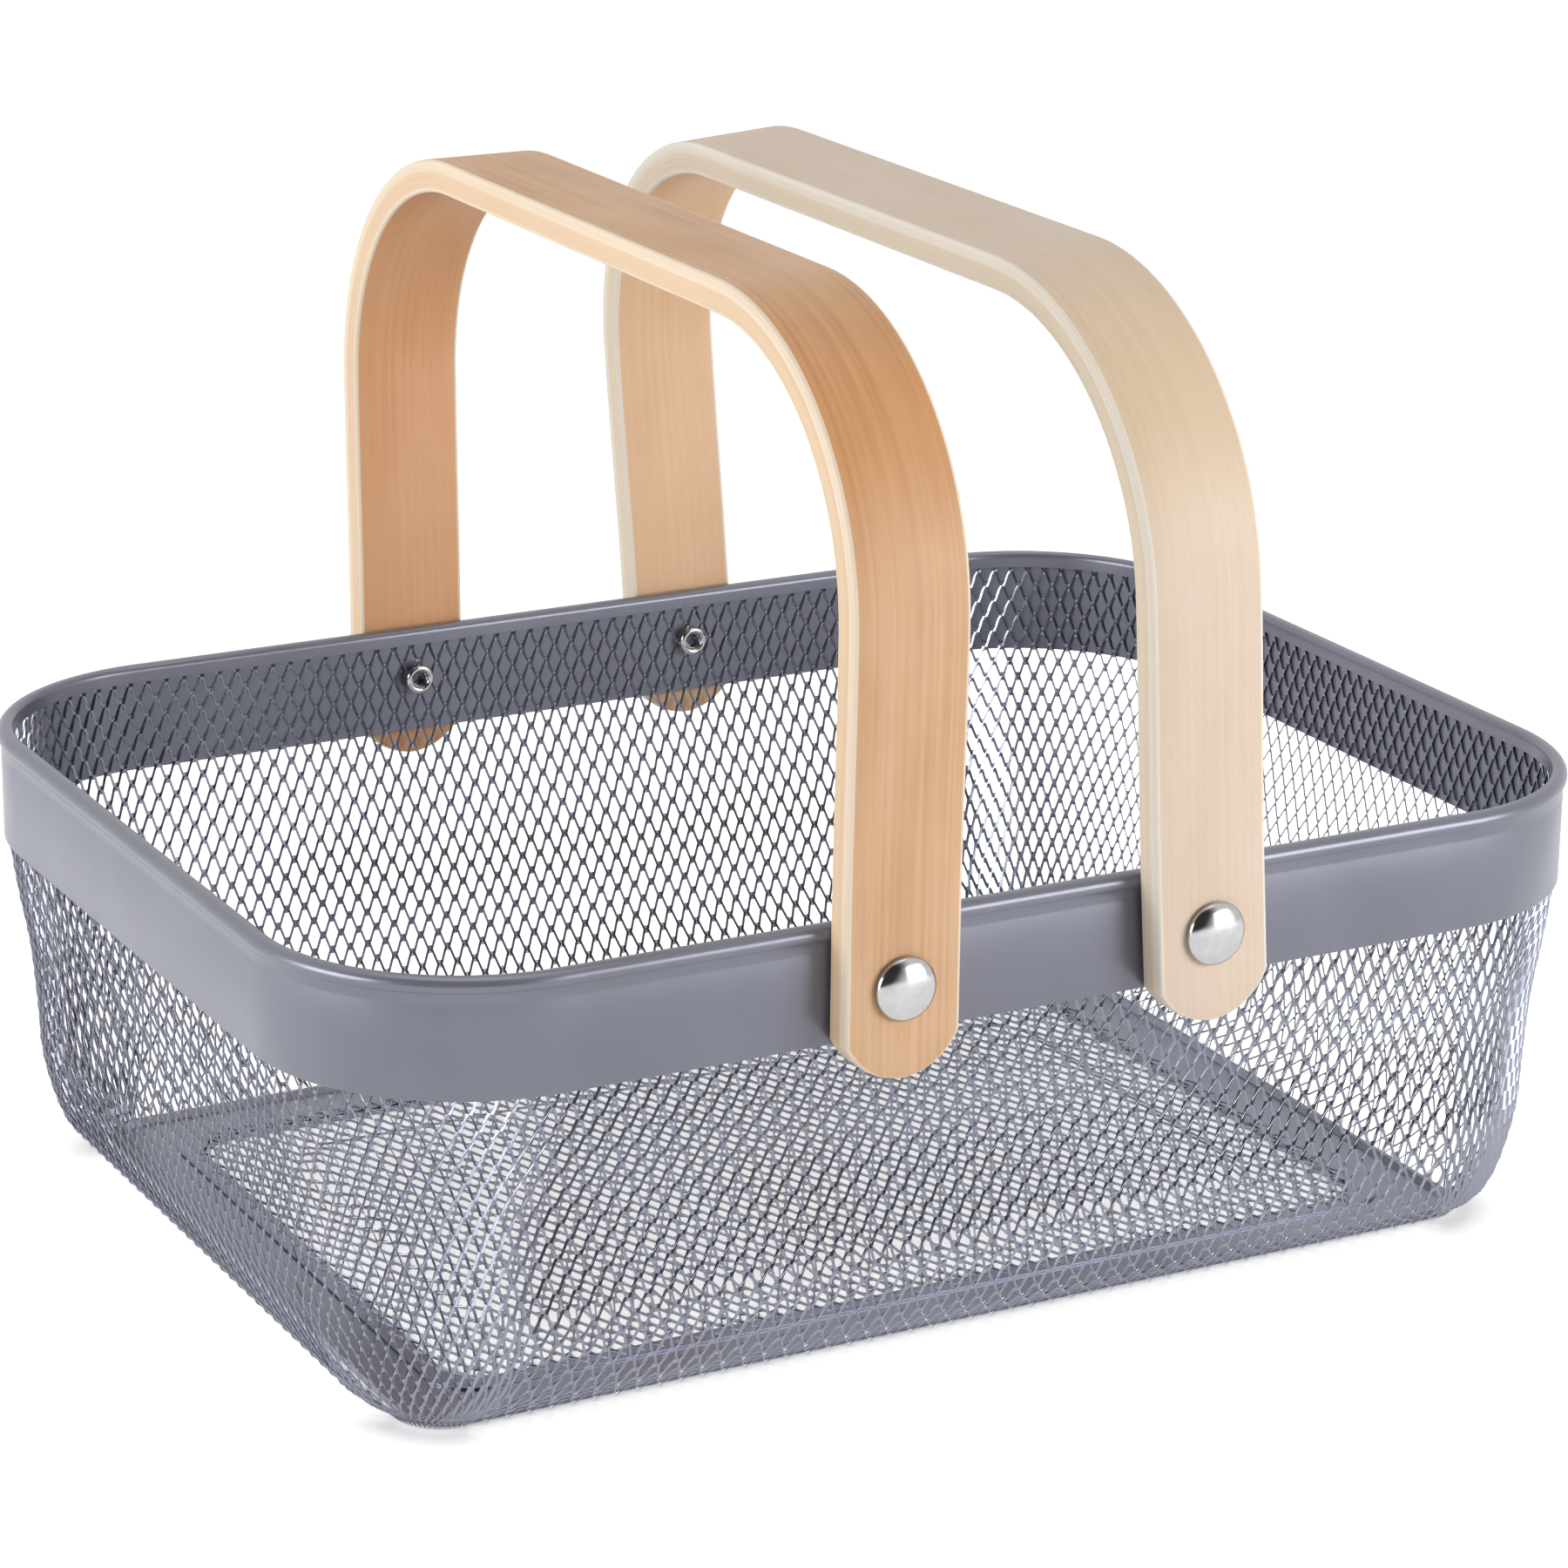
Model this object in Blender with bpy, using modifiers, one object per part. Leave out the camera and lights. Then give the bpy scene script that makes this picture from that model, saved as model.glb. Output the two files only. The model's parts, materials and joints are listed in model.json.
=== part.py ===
"""Metal mesh basket with two bentwood swing handles.

An open rectangular basket with round corners: a pressed wall of expanded
metal under a hemmed sheet rim band, a sheet foot ring, a mesh floor laid on
it, and two bent wooden straps that swing on four domed rivets.

Metres, +Z up. The basket stands on the plane z = 0 and is centred on the
origin: its long side lies along X, and the handles turn about axes along Y.
"""

import math

import bmesh
import bpy
from mathutils import Matrix, Vector

# Overall form, measured over the bead of the rim
basket_length = 0.296
basket_width = 0.222
basket_height = 0.1005
rim_corner_radius = 0.0455
least_corner_radius = 0.0100

# Fits: the gap left between pieces that touch, and the reach of a cutter past what it cuts
seat_gap = 0.0003
cut_overrun = 0.002

# Rim band: a sheet strip whose top edge is rolled over the mesh as a bead
band_height = 0.0245
band_sheet = 0.0008
bead_height = 0.0036
bead_overhang = 0.0007
bead_rounding = 0.0014
bead_lip_sheet = 0.0010
bead_roof_sheet = 0.0009
bead_arc_steps = 2

# Wall mesh: expanded sheet with long diamonds standing up
mesh_sheet = 0.0008
strand_width = 0.0034
long_side_columns = 10
short_side_columns = 6
corner_columns = 4
wall_inset = 0.0215
wall_crease_height = 0.0018
corner_tightening = 0.0120
wall_toe_inset = 0.0006
mesh_overlap_in_band = 0.0035

# Each row of the wall: the share of its inset, and of its height between the crease and the band
wall_row_shares = (
    (0.00, 1.00),
    (0.085, 0.815),
    (0.21, 0.635),
    (0.275, 0.45),
    (0.33, 0.275),
    (0.585, 0.085),
    (1.00, 0.00),
)

# Foot ring: a flat sheet ring with an upturned outer lip, on which the basket stands
foot_ring_width = 0.0155
foot_ring_sheet = 0.0010
foot_lip_height = 0.0024

# Floor mesh: a panel that laps over the ring, with a shallow pressed step
floor_lap = 0.0050
floor_border = 0.0045
floor_step_inset = 0.0160
floor_step_height = 0.0015
floor_cell_length = 0.0360
floor_cell_width = 0.0240
edge_cell_share = 0.6

# Handles: bentwood straps
handle_spacing = 0.0700
handle_reach = 0.1280
strap_width = 0.0250
strap_thickness = 0.0070
strap_edge_chamfer = 0.0008
strap_corner_radius = 0.0535
strap_bow = 0.0012
strap_tail = 0.0185
strap_tail_radius = 0.0138
straight_above_pivot = 0.0120
right_handle_lean = math.radians(-4)
strap_bow_steps = 5
strap_corner_steps = 9
strap_tail_steps = 10

# Rivets: domed head outside, tubular end clenched over the mesh inside
rivet_below_rim = 0.0120
rivet_head_radius = 0.0066
rivet_head_rise = 0.0030
rivet_head_edge = 0.0004
rivet_shank_radius = 0.0024
rivet_bore_radius = 0.0016
rivet_bore_depth = 0.0050
rivet_clench_radius = 0.0034
rivet_clench_height = 0.0016
rivet_dome_steps = 3
round_segments = 16
bore_segments = 16

# What the named sizes above lead to
band_face_length = basket_length - 2 * bead_overhang
band_face_width = basket_width - 2 * bead_overhang
corner_radius = rim_corner_radius - bead_overhang
band_bottom = basket_height - band_height
rivet_height = basket_height - rivet_below_rim
bead_depth = band_sheet + mesh_sheet + 2 * seat_gap + bead_lip_sheet
mesh_face_inset = band_sheet + seat_gap
mesh_back_inset = mesh_face_inset + mesh_sheet
crease_inset = mesh_face_inset + wall_inset
ring_outer_inset = crease_inset + mesh_sheet + seat_gap
ring_inner_inset = ring_outer_inset + wall_toe_inset + foot_ring_width
pivot_x = handle_spacing / 2
strap_inner_offset = bead_overhang + seat_gap
strap_inner_y = band_face_width / 2 + strap_inner_offset
pivot_bore_radius = rivet_shank_radius + seat_gap


def clear_scene():
    for thing in list(bpy.data.objects):
        bpy.data.objects.remove(thing)


def make_collection(name):
    collection = bpy.data.collections.new(name)
    bpy.context.scene.collection.children.link(collection)
    return collection


def make_material(name, colour, roughness, metallic):
    material = bpy.data.materials.new(name)
    material.use_nodes = True
    shader = material.node_tree.nodes["Principled BSDF"]
    shader.inputs["Base Color"].default_value = (*colour, 1)
    shader.inputs["Roughness"].default_value = roughness
    shader.inputs["Metallic"].default_value = metallic
    return material


def add_object(name, mesh, collection, material=None):
    thing = bpy.data.objects.new(name, mesh)
    collection.objects.link(thing)
    if material:
        mesh.materials.append(material)
    return thing


def mesh_from(name, bm):
    bmesh.ops.recalc_face_normals(bm, faces=bm.faces)
    mesh = bpy.data.meshes.new(name)
    bm.to_mesh(mesh)
    bm.free()
    return mesh


def cut(target, cutter, operation="DIFFERENCE"):
    modifier = target.modifiers.new(operation.title() + " " + cutter.name, "BOOLEAN")
    modifier.operation = operation
    modifier.solver = "EXACT"
    modifier.object = cutter


def hide_as_cutter(thing):
    thing.hide_render = True
    thing.display_type = "WIRE"


# The plan of the basket: stations round a rectangle with round corners

def corner_stations(steps):
    """Shares of the corner centre in X and Y, and the outward angle, for each corner point."""
    stations = []
    for quarter, (share_x, share_y) in enumerate(((1, 1), (-1, 1), (-1, -1), (1, -1))):
        for step in range(steps + 1):
            angle = math.pi / 2 * (quarter + step / steps)
            stations.append((share_x, share_y, angle))
    return stations


def wall_stations():
    """Two stations for each column of diamonds, the whole way round."""
    corners = corner_stations(2 * corner_columns)
    per_corner = 2 * corner_columns + 1
    stations = []
    for quarter in range(4):
        arc = corners[quarter * per_corner:(quarter + 1) * per_corner]
        following = corners[(quarter + 1) * per_corner % len(corners)]
        stations += arc
        columns = long_side_columns if quarter % 2 == 0 else short_side_columns
        for step in range(1, 2 * columns):
            share = step / (2 * columns)
            share_x = arc[-1][0] + (following[0] - arc[-1][0]) * share
            share_y = arc[-1][1] + (following[1] - arc[-1][1]) * share
            stations.append((share_x, share_y, arc[-1][2]))
    return stations


def plan_point(station, inset, height=0.0):
    """The point of a station on the outline that lies inset from the band's outer face."""
    share_x, share_y, angle = station
    depth_share = min(max((inset - mesh_face_inset) / wall_inset, 0), 1)
    radius = max(corner_radius - inset - corner_tightening * depth_share, least_corner_radius)
    x = share_x * (band_face_length / 2 - inset - radius) + radius * math.cos(angle)
    y = share_y * (band_face_width / 2 - inset - radius) + radius * math.sin(angle)
    return Vector((x, y, height))


def within_plan(x, y, inset):
    right_end = plan_point((1, 1, 0), inset)
    back_side = plan_point((1, 1, math.pi / 2), inset)
    past_x = max(abs(x) - back_side.x, 0)
    past_y = max(abs(y) - right_end.y, 0)
    return math.hypot(past_x, past_y) <= right_end.x - back_side.x


# Shapes made by sweeping one section along a line

def poly_curve(name, points, closed):
    curve = bpy.data.curves.new(name, "CURVE")
    curve.dimensions = "2D"
    spline = curve.splines.new("POLY")
    spline.points.add(len(points) - 1)
    for control, (x, y) in zip(spline.points, points):
        control.co = (x, y, 0, 1)
    spline.use_cyclic_u = closed
    thing = bpy.data.objects.new(name, curve)
    bpy.context.scene.collection.objects.link(thing)
    return thing


def swept_mesh(name, path_points, section_points, closed):
    """Sweeps a closed section along a flat path: section X points inward, section Y up."""
    path = poly_curve(name + "_path", path_points, closed)
    section = poly_curve(name + "_section", section_points, True)
    path.data.bevel_mode = "OBJECT"
    path.data.bevel_object = section
    path.data.use_fill_caps = not closed
    bpy.context.view_layer.update()
    evaluated = path.evaluated_get(bpy.context.evaluated_depsgraph_get())
    bm = bmesh.new()
    bm.from_mesh(bpy.data.meshes.new_from_object(evaluated))
    bmesh.ops.remove_doubles(bm, verts=bm.verts, dist=seat_gap / 100)
    bpy.data.objects.remove(path)
    bpy.data.objects.remove(section)
    return mesh_from(name, bm)


def rim_outline():
    return [plan_point(station, 0).xy for station in corner_stations(2 * corner_columns)]


def quarter_turn(centre_x, centre_y, radius, start_quarter, steps):
    points = []
    for step in range(steps + 1):
        angle = math.pi / 2 * (start_quarter + step / steps)
        points.append((centre_x + radius * math.cos(angle), centre_y + radius * math.sin(angle)))
    return points


def make_rim_band(collection, material):
    """Section X is the inset from the band's outer face, section Y the height."""
    shoulder = basket_height - bead_height
    crown = basket_height - bead_rounding
    roof = basket_height - bead_roof_sheet
    section = [(0, band_bottom), (0, shoulder), (-bead_overhang, shoulder + bead_overhang)]
    outer_turn = quarter_turn(bead_rounding - bead_overhang, crown, bead_rounding, 1, bead_arc_steps)
    section += reversed(outer_turn)
    inner_turn = quarter_turn(bead_depth - bead_rounding, crown, bead_rounding, 0, bead_arc_steps)
    section += reversed(inner_turn)
    section += [
        (bead_depth, shoulder),
        (bead_depth - bead_lip_sheet, shoulder),
        (bead_depth - bead_lip_sheet, roof),
        (band_sheet, roof),
        (band_sheet, band_bottom),
    ]
    mesh = swept_mesh("rim_band", rim_outline(), section, True)
    return add_object("rim_band", mesh, collection, material)


def make_foot_ring(collection, material):
    """A flat ring with an upturned outer lip that stands inside the foot of the wall."""
    flat_outer = ring_outer_inset + wall_toe_inset
    lip_lean = wall_toe_inset * foot_lip_height / wall_crease_height
    section = [
        (flat_outer, 0),
        (flat_outer - lip_lean, foot_lip_height),
        (flat_outer - lip_lean + foot_ring_sheet, foot_lip_height),
        (flat_outer + foot_ring_sheet, foot_ring_sheet),
        (ring_inner_inset, foot_ring_sheet),
        (ring_inner_inset, 0),
    ]
    outline = corner_stations(2 * corner_columns)
    bm = bmesh.new()
    rows = [[bm.verts.new(plan_point(station, inset, height)) for station in outline]
            for inset, height in section]
    close_loft(bm, rows, True)
    return add_object("foot_ring", mesh_from("foot_ring", bm), collection, material)


def close_loft(bm, rows, joined):
    """Faces between neighbouring closed rows, and from the last row to the first if joined."""
    count = len(rows[0])
    pairs = list(zip(rows, rows[1:]))
    if joined:
        pairs.append((rows[-1], rows[0]))
    for lower, upper in pairs:
        for index in range(count):
            following = (index + 1) % count
            bm.faces.new((lower[index], lower[following], upper[following], upper[index]))


# The mesh: a net of diamonds on the pressed wall

def wall_row(inset_share, height_share):
    """Inset and height of a row of knuckles, to the outer face of the mesh."""
    inset = mesh_face_inset + wall_inset * inset_share
    top = band_bottom + mesh_overlap_in_band
    height = wall_crease_height + (top - wall_crease_height) * height_share
    return inset, height


def make_wall_mesh(collection, material):
    """Diamonds between staggered knuckles, opened by an inset and given the sheet's thickness."""
    stations = wall_stations()
    count = len(stations)
    rows = [wall_row(*shares) for shares in wall_row_shares]
    last = len(rows) - 1
    bm = bmesh.new()
    knuckles = {}
    for row, (inset, height) in enumerate(rows):
        for column, station in enumerate(stations):
            if row in (0, last) or (row + column) % 2 == 0:
                knuckles[column, row] = bm.verts.new(plan_point(station, inset, height))
    diamonds = []
    for row in range(last + 1):
        for column in range((row + 1) % 2, count, 2):
            corners = ((column - 1, row), (column, row + 1), (column + 1, row), (column, row - 1))
            if row in (0, last):
                outside = row - 1 if row == 0 else row + 1
                corners = [(column, row) if place == (column, outside) else place for place in corners]
            diamonds.append(bm.faces.new([knuckles[place[0] % count, place[1]] for place in corners]))
    bm.normal_update()
    strand_inset = strand_width / 2
    bmesh.ops.inset_individual(bm, faces=diamonds, thickness=strand_inset, use_even_offset=True)
    bmesh.ops.delete(bm, geom=diamonds, context="FACES")
    mesh_top = basket_height - bead_roof_sheet - seat_gap
    selvedge = [bm.verts.new(plan_point(station, mesh_face_inset, mesh_top)) for station in stations]
    close_loft(bm, [[knuckles[column, 0] for column in range(count)], selvedge], False)
    toe_inset = crease_inset + wall_toe_inset
    toe = [bm.verts.new(plan_point(station, toe_inset, seat_gap)) for station in stations]
    close_loft(bm, [[knuckles[column, last] for column in range(count)], toe], False)
    thing = add_object("wall_mesh", mesh_from("wall_mesh", bm), collection, material)
    solidify = thing.modifiers.new("Sheet", "SOLIDIFY")
    solidify.thickness = mesh_sheet
    solidify.offset = -1
    solidify.use_even_offset = True
    return thing


def make_floor_mesh(collection, cutters, material):
    """A stepped panel that laps over the foot ring, cut through with diamonds."""
    outer_inset = ring_inner_inset - floor_lap
    step_inset = ring_inner_inset + floor_step_inset
    seat = foot_ring_sheet + seat_gap
    rings = (
        (outer_inset, seat),
        (step_inset, seat),
        (step_inset + floor_step_height, seat + floor_step_height),
    )
    outline = corner_stations(corner_columns)
    bm = bmesh.new()
    rows = [[bm.verts.new(plan_point(station, inset, height)) for station in outline]
            for inset, height in rings]
    close_loft(bm, rows, False)
    bm.faces.new(rows[-1])
    floor = add_object("floor_mesh", mesh_from("floor_mesh", bm), collection, material)
    solidify = floor.modifiers.new("Sheet", "SOLIDIFY")
    solidify.thickness = mesh_sheet
    solidify.offset = 1
    solidify.use_even_offset = True
    border_inset = outer_inset + floor_border
    openings = add_object("floor_openings", floor_opening_mesh(border_inset), cutters)
    hide_as_cutter(openings)
    inside_border = [plan_point(station, border_inset).xy for station in outline]
    limit = add_object("floor_opening_limit", upright_prism("floor_opening_limit", inside_border), cutters)
    hide_as_cutter(limit)
    cut(openings, limit, "INTERSECT")
    cut(floor, openings)
    return floor


def raise_prism(bm, outline, low, high):
    ring = [bm.verts.new((*corner, low)) for corner in outline]
    made = bmesh.ops.extrude_face_region(bm, geom=[bm.faces.new(ring)])
    raised = [item for item in made["geom"] if isinstance(item, bmesh.types.BMVert)]
    bmesh.ops.translate(bm, verts=raised, vec=(0, 0, high - low))


def upright_prism(name, outline):
    bm = bmesh.new()
    raise_prism(bm, outline, -2 * cut_overrun, band_bottom)
    return mesh_from(name, bm)


def floor_opening_mesh(limit_inset):
    """One prism for each diamond that lies far enough inside the panel's border."""
    half_width = (floor_cell_width - strand_width) / 2
    half_length = (floor_cell_length - strand_width) / 2
    top = foot_ring_sheet + floor_step_height + mesh_sheet + cut_overrun
    columns = math.ceil(basket_length / floor_cell_width)
    rows = math.ceil(basket_width / floor_cell_length) * 2
    bm = bmesh.new()
    for row in range(-rows, rows + 1):
        for column in range(-columns, columns + 1):
            x = (column + (row % 2) / 2) * floor_cell_width
            y = row * floor_cell_length / 2
            reach_x = half_width * edge_cell_share
            reach_y = half_length * edge_cell_share
            probes = ((x + reach_x, y), (x - reach_x, y), (x, y + reach_y), (x, y - reach_y))
            if any(within_plan(*probe, limit_inset) for probe in probes):
                corners = ((x + half_width, y), (x, y + half_length),
                           (x - half_width, y), (x, y - half_length))
                raise_prism(bm, corners, -cut_overrun, top)
    return mesh_from("floor_openings", bm)


# The handles: straps that swing on the rivets

def strap_centre_line():
    """Half of the strap's centre line, from its tail to the top: offset from the middle, height."""
    leg = strap_inner_y + strap_thickness / 2
    corner_height = handle_reach - strap_thickness / 2 - strap_corner_radius
    points = [(leg, -strap_tail - cut_overrun)]
    for step in range(strap_bow_steps + 1):
        share = step / strap_bow_steps
        smooth = share * share * (3 - 2 * share)
        height = straight_above_pivot + (corner_height - straight_above_pivot) * share
        points.append((leg + strap_bow * smooth, height))
    corner_offset = leg + strap_bow - strap_corner_radius
    turn = quarter_turn(corner_offset, corner_height, strap_corner_radius, 0, strap_corner_steps)
    return points + turn[1:]


def strap_section():
    """A flat strap with chamfered edges: X through its thickness, Y across its width."""
    half_t = strap_thickness / 2
    half_w = strap_width / 2
    edge = strap_edge_chamfer
    return [
        (half_t, half_w - edge), (half_t - edge, half_w),
        (edge - half_t, half_w), (-half_t, half_w - edge),
        (-half_t, edge - half_w), (edge - half_t, -half_w),
        (half_t - edge, -half_w), (half_t, edge - half_w),
    ]


def strap_tail_mesh():
    """The strap's front outline with a round tail, wide and deep enough to trim both legs."""
    half = strap_width / 2 + seat_gap
    centre = strap_tail_radius - strap_tail
    points = []
    for step in range(strap_tail_steps + 1):
        x = -half + 2 * half * step / strap_tail_steps
        points.append((x, centre - math.sqrt(strap_tail_radius ** 2 - x * x)))
    top = handle_reach + cut_overrun
    points += [(half, top), (-half, top)]
    depth = strap_inner_y + strap_thickness + strap_bow + cut_overrun
    bm = bmesh.new()
    ring = [bm.verts.new((x, -depth, z)) for x, z in points]
    made = bmesh.ops.extrude_face_region(bm, geom=[bm.faces.new(ring)])
    pushed = [item for item in made["geom"] if isinstance(item, bmesh.types.BMVert)]
    bmesh.ops.translate(bm, verts=pushed, vec=(0, 2 * depth, 0))
    return mesh_from("strap_tail", bm)


def make_handle(side, hinge_x, lean, bore, collection, cutters, material):
    half_line = strap_centre_line()
    other_half = [(-offset, height) for offset, height in reversed(half_line)]
    mesh = swept_mesh(side + "_handle", half_line + other_half, strap_section(), False)
    upright = Matrix(((0, 0, 1, 0), (1, 0, 0, 0), (0, 1, 0, 0), (0, 0, 0, 1)))
    mesh.transform(upright)
    handle = add_object(side + "_handle", mesh, collection, material)
    handle.location = (hinge_x, 0, rivet_height)
    handle.rotation_euler = (0, lean, 0)
    tail = add_object(side + "_strap_tail", strap_tail_mesh(), cutters)
    tail.location = handle.location
    tail.rotation_euler = handle.rotation_euler
    hide_as_cutter(tail)
    cut(handle, tail, "INTERSECT")
    cut(handle, bore)
    return handle


# The rivets and their holes

def make_pivot_bore(side, hinge_x, cutters):
    """One long cylinder through both long sides, at the handle's axis."""
    depth = 2 * (strap_inner_y + strap_thickness + strap_bow + cut_overrun)
    bm = bmesh.new()
    bmesh.ops.create_cone(bm, cap_ends=True, segments=bore_segments, radius1=pivot_bore_radius,
                          radius2=pivot_bore_radius, depth=depth)
    bore = add_object(side + "_pivot_bore", mesh_from(side + "_pivot_bore", bm), cutters)
    bore.rotation_euler = (math.pi / 2, 0, 0)
    bore.location = (hinge_x, 0, rivet_height)
    hide_as_cutter(bore)
    return bore


def rivet_profile():
    """Radius and height from the band's outer face, from the dome's top to the bore's end."""
    seat = strap_inner_offset + strap_thickness + seat_gap
    edge = seat + rivet_head_edge
    rise = rivet_head_rise - rivet_head_edge
    points = []
    for step in range(rivet_dome_steps):
        angle = math.pi / 2 * step / rivet_dome_steps
        points.append((rivet_head_radius * math.sin(angle), edge + rise * math.cos(angle)))
    clench_top = -mesh_back_inset - seat_gap
    clench_end = clench_top - rivet_clench_height
    lip = (rivet_clench_radius - rivet_bore_radius) / 4
    points += [
        (rivet_head_radius, edge),
        (rivet_head_radius - rivet_head_edge, seat),
        (rivet_shank_radius, seat),
        (rivet_shank_radius, clench_top),
        (rivet_clench_radius - lip, clench_top),
        (rivet_clench_radius, clench_top - lip),
        (rivet_clench_radius - lip, clench_end + lip / 2),
        (rivet_bore_radius + lip, clench_end),
        (rivet_bore_radius, clench_end + lip),
        (rivet_bore_radius, clench_end + rivet_bore_depth),
        (0, clench_end + rivet_bore_depth),
    ]
    return points


def make_rivet(name, hinge_x, side_sign, collection, material):
    """A turned profile whose head points outward: side_sign is -1 at the front, 1 at the back."""
    bm = bmesh.new()
    line = [bm.verts.new((radius, 0, height)) for radius, height in rivet_profile()]
    for first, second in zip(line, line[1:]):
        bm.edges.new((first, second))
    mesh = bpy.data.meshes.new(name)
    bm.to_mesh(mesh)
    bm.free()
    rivet = add_object(name, mesh, collection, material)
    turn = rivet.modifiers.new("Turned", "SCREW")
    turn.steps = round_segments
    turn.render_steps = round_segments
    turn.use_merge_vertices = True
    turn.merge_threshold = seat_gap / 100
    rivet.rotation_euler = (-side_sign * math.pi / 2, 0, 0)
    rivet.location = (hinge_x, side_sign * band_face_width / 2, rivet_height)
    return rivet


def shade(thing, degrees):
    thing.data.shade_smooth()
    thing.data.set_sharp_from_angle(angle=math.radians(degrees))


def build():
    clear_scene()
    parts = make_collection("metal_mesh_basket")
    cutters = make_collection("cutters")
    grey_paint = make_material("grey_paint", (0.24, 0.25, 0.29), 0.42, 0.35)
    band_paint = make_material("band_paint", (0.27, 0.28, 0.32), 0.40, 0.35)
    tan_wood = make_material("tan_wood", (0.66, 0.43, 0.25), 0.55, 0.0)
    pale_wood = make_material("pale_wood", (0.79, 0.63, 0.48), 0.55, 0.0)
    bright_metal = make_material("bright_metal", (0.82, 0.82, 0.83), 0.12, 1.0)

    band = make_rim_band(parts, band_paint)
    wall = make_wall_mesh(parts, grey_paint)
    make_foot_ring(parts, band_paint)
    make_floor_mesh(parts, cutters, grey_paint)
    sides = (("left", -pivot_x, 0, tan_wood), ("right", pivot_x, right_handle_lean, pale_wood))
    for side, hinge_x, lean, wood in sides:
        bore = make_pivot_bore(side, hinge_x, cutters)
        cut(band, bore)
        cut(wall, bore)
        handle = make_handle(side, hinge_x, lean, bore, parts, cutters, wood)
        shade(handle, 30)
        for place, side_sign in (("front", -1), ("back", 1)):
            rivet = make_rivet(side + "_" + place + "_rivet", hinge_x, side_sign, parts, bright_metal)
            shade(rivet, 40)
    shade(band, 30)


build()
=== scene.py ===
"""Looks of an open metal mesh basket with two bentwood swing handles.

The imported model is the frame. The wall and floor get their mesh at its real
cell size. The rim band, the foot ring, the handles and the rivets are drawn
again with finer rounding, and every piece gets its material. Metres, +Z up,
in the model's own frame.
"""

import json
import math

import bmesh
import bpy
from mathutils import Matrix, Vector


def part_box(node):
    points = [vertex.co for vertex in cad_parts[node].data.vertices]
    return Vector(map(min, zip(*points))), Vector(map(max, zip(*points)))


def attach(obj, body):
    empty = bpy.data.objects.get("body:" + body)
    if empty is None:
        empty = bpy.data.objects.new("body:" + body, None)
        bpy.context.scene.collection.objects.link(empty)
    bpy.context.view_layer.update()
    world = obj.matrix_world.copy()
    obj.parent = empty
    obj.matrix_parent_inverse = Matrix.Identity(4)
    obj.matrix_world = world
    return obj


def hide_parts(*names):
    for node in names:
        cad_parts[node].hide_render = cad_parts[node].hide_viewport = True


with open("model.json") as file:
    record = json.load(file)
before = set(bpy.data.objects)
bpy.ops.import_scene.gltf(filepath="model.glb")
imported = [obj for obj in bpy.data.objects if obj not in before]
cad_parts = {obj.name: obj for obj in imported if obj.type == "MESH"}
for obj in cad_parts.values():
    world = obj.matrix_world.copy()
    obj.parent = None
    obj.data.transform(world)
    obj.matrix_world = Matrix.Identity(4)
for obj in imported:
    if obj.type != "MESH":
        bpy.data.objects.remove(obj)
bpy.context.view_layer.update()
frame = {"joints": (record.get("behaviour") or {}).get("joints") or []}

# Sizes read from the frame
rim_low, rim_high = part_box("rim_band")
basket_length = rim_high.x - rim_low.x
basket_width = rim_high.y - rim_low.y
basket_height = rim_high.z
band_bottom = rim_low.z
joint_places = {joint["child"]: Vector(joint["pos_m"]) for joint in frame["joints"]}
rivet_height = joint_places["left_handle"].z
handle_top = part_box("left_handle")[1].z

# The plan and the sheets
rim_corner_radius = 0.0455
least_corner_radius = 0.0100
corner_tightening = 0.0120
seat_gap = 0.0003
mesh_sheet = 0.0008
corner_steps = 32
sheet_smooth_degrees = 40

# The rim band and its rolled bead
band_sheet = 0.0008
band_foot_chamfer = (0.0002, 0.0003)
bead_height = 0.0036
bead_overhang = 0.0007
bead_depth = 0.0032
bead_inner_radius = 0.0014
bead_lip_sheet = 0.0010
bead_roof_sheet = 0.0009
bead_outer_start_degrees = 232
bead_outer_steps = 12
bead_inner_steps = 7
fold_line_drop = 0.0052
fold_line_depth = 0.00012
fold_line_softness = 0.0004
band_smooth_degrees = 50

# The wall's mesh
cell_width = 0.00425
cell_height = 0.0074
strand_width = 0.00090
strand_sheet = 0.00017
side_lift = 0.00041
end_lift = 0.00012
knuckle_share = 0.30
least_open_share = 0.15
wall_inset = 0.0215
crease_height = 0.0018
toe_inset = 0.0006
overlap_in_band = 0.0035
mesh_top_drop = 0.0012

# Points down the wall, as shares of its inset and of its height
wall_row_shares = (
    (0.00, 1.00),
    (0.085, 0.815),
    (0.21, 0.635),
    (0.275, 0.45),
    (0.33, 0.275),
    (0.585, 0.085),
    (1.00, 0.00),
)
row_steps = 8

# The foot ring and the floor's mesh
ring_width = 0.0155
ring_sheet = 0.0010
ring_lip_height = 0.0024
ring_top_gap = 0.00005
floor_lap = 0.0050
floor_border = 0.0045
floor_border_sheet = 0.0004
floor_step_inset = 0.0160
floor_step_height = 0.0015
floor_strand_width = 0.00090
floor_strand_sheet = 0.00045
floor_lift_share = 0.3

# The handles
strap_width = 0.0250
strap_thickness = 0.0070
strap_corner_radius = 0.0535
strap_bow = 0.0012
strap_tail = 0.0185
strap_tail_radius = 0.0138
straight_above_pivot = 0.0120
strap_edge_radius = 0.0008
tail_tip_share = 0.06
right_handle_lean = math.radians(-4)
ply_share = 0.35
strap_tail_steps = 14
strap_straight_steps = 12
strap_bow_steps = 16
strap_corner_steps = 28
strap_top_steps = 12
strap_edge_steps = 3
strap_smooth_degrees = 40

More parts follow.
